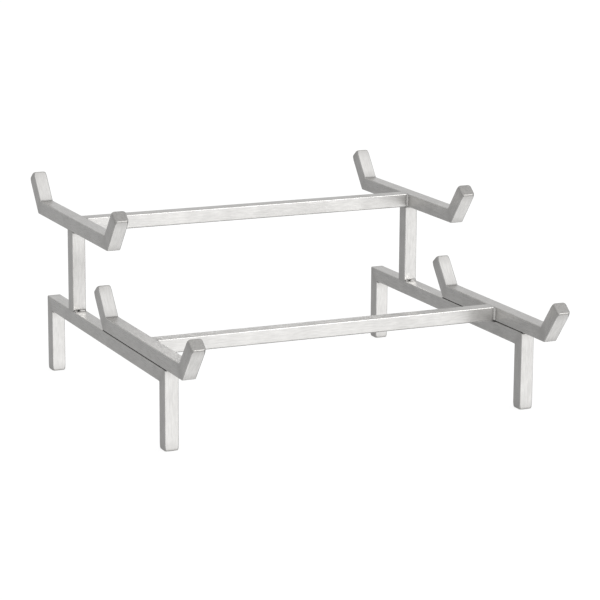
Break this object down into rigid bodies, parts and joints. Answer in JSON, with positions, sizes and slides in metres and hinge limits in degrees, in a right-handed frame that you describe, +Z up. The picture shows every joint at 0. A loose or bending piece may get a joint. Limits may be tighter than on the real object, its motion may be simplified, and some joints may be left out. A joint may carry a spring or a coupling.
{
  "type": "bakery bread rack",
  "caption": "Tiered display stand of welded square steel tube, with upturned cradle arms that carry bread trays or baskets laid across them.",
  "frame": {"origin": "on the floor, midway between the side frames and midway between the two tiers", "axes": "+X to the viewer's right, +Y to the rear, +Z up; the front, where the lower tier is, looks towards -Y"},
  "size_m": [0.546, 0.6434, 0.2832],
  "materials": {
    "brushed_tube": "satin, brushed along each tube",
    "ground_cap": "ground smooth across the end",
    "weld_bead": "cleaned weld"
  },
  "bodies": {
    "root": {"left_front_leg": "brushed_tube", "left_base_beam": "brushed_tube", "left_rear_leg": "brushed_tube", "left_front_foot_cap": "ground_cap", "left_rear_foot_cap": "ground_cap", "left_post": "brushed_tube", "left_post_foot_front_weld": "weld_bead", "left_post_foot_rear_weld": "weld_bead", "left_post_head_front_weld": "weld_bead", "left_post_head_rear_weld": "weld_bead", "left_lower_seat": "brushed_tube", "left_lower_front_horn": "brushed_tube", "left_lower_rear_horn": "brushed_tube", "left_lower_front_tip_cap": "ground_cap", "left_lower_rear_tip_cap": "ground_cap", "left_lower_seat_front_weld": "weld_bead", "left_lower_seat_rear_weld": "weld_bead", "left_upper_seat": "brushed_tube", "left_upper_front_horn": "brushed_tube", "left_upper_rear_horn": "brushed_tube", "left_upper_front_tip_cap": "ground_cap", "left_upper_rear_tip_cap": "ground_cap", "right_front_leg": "brushed_tube", "right_base_beam": "brushed_tube", "right_rear_leg": "brushed_tube", "right_front_foot_cap": "ground_cap", "right_rear_foot_cap": "ground_cap", "right_post": "brushed_tube", "right_post_foot_front_weld": "weld_bead", "right_post_foot_rear_weld": "weld_bead", "right_post_head_front_weld": "weld_bead", "right_post_head_rear_weld": "weld_bead", "right_lower_seat": "brushed_tube", "right_lower_front_horn": "brushed_tube", "right_lower_rear_horn": "brushed_tube", "right_lower_front_tip_cap": "ground_cap", "right_lower_rear_tip_cap": "ground_cap", "right_lower_seat_front_weld": "weld_bead", "right_lower_seat_rear_weld": "weld_bead", "right_upper_seat": "brushed_tube", "right_upper_front_horn": "brushed_tube", "right_upper_rear_horn": "brushed_tube", "right_upper_front_tip_cap": "ground_cap", "right_upper_rear_tip_cap": "ground_cap", "lower_crossbar": "brushed_tube", "left_lower_crossbar_front_weld": "weld_bead", "left_lower_crossbar_rear_weld": "weld_bead", "right_lower_crossbar_front_weld": "weld_bead", "right_lower_crossbar_rear_weld": "weld_bead", "upper_crossbar": "brushed_tube", "left_upper_crossbar_front_weld": "weld_bead", "left_upper_crossbar_rear_weld": "weld_bead", "right_upper_crossbar_front_weld": "weld_bead", "right_upper_crossbar_rear_weld": "weld_bead"}
  },
  "joints": []
}
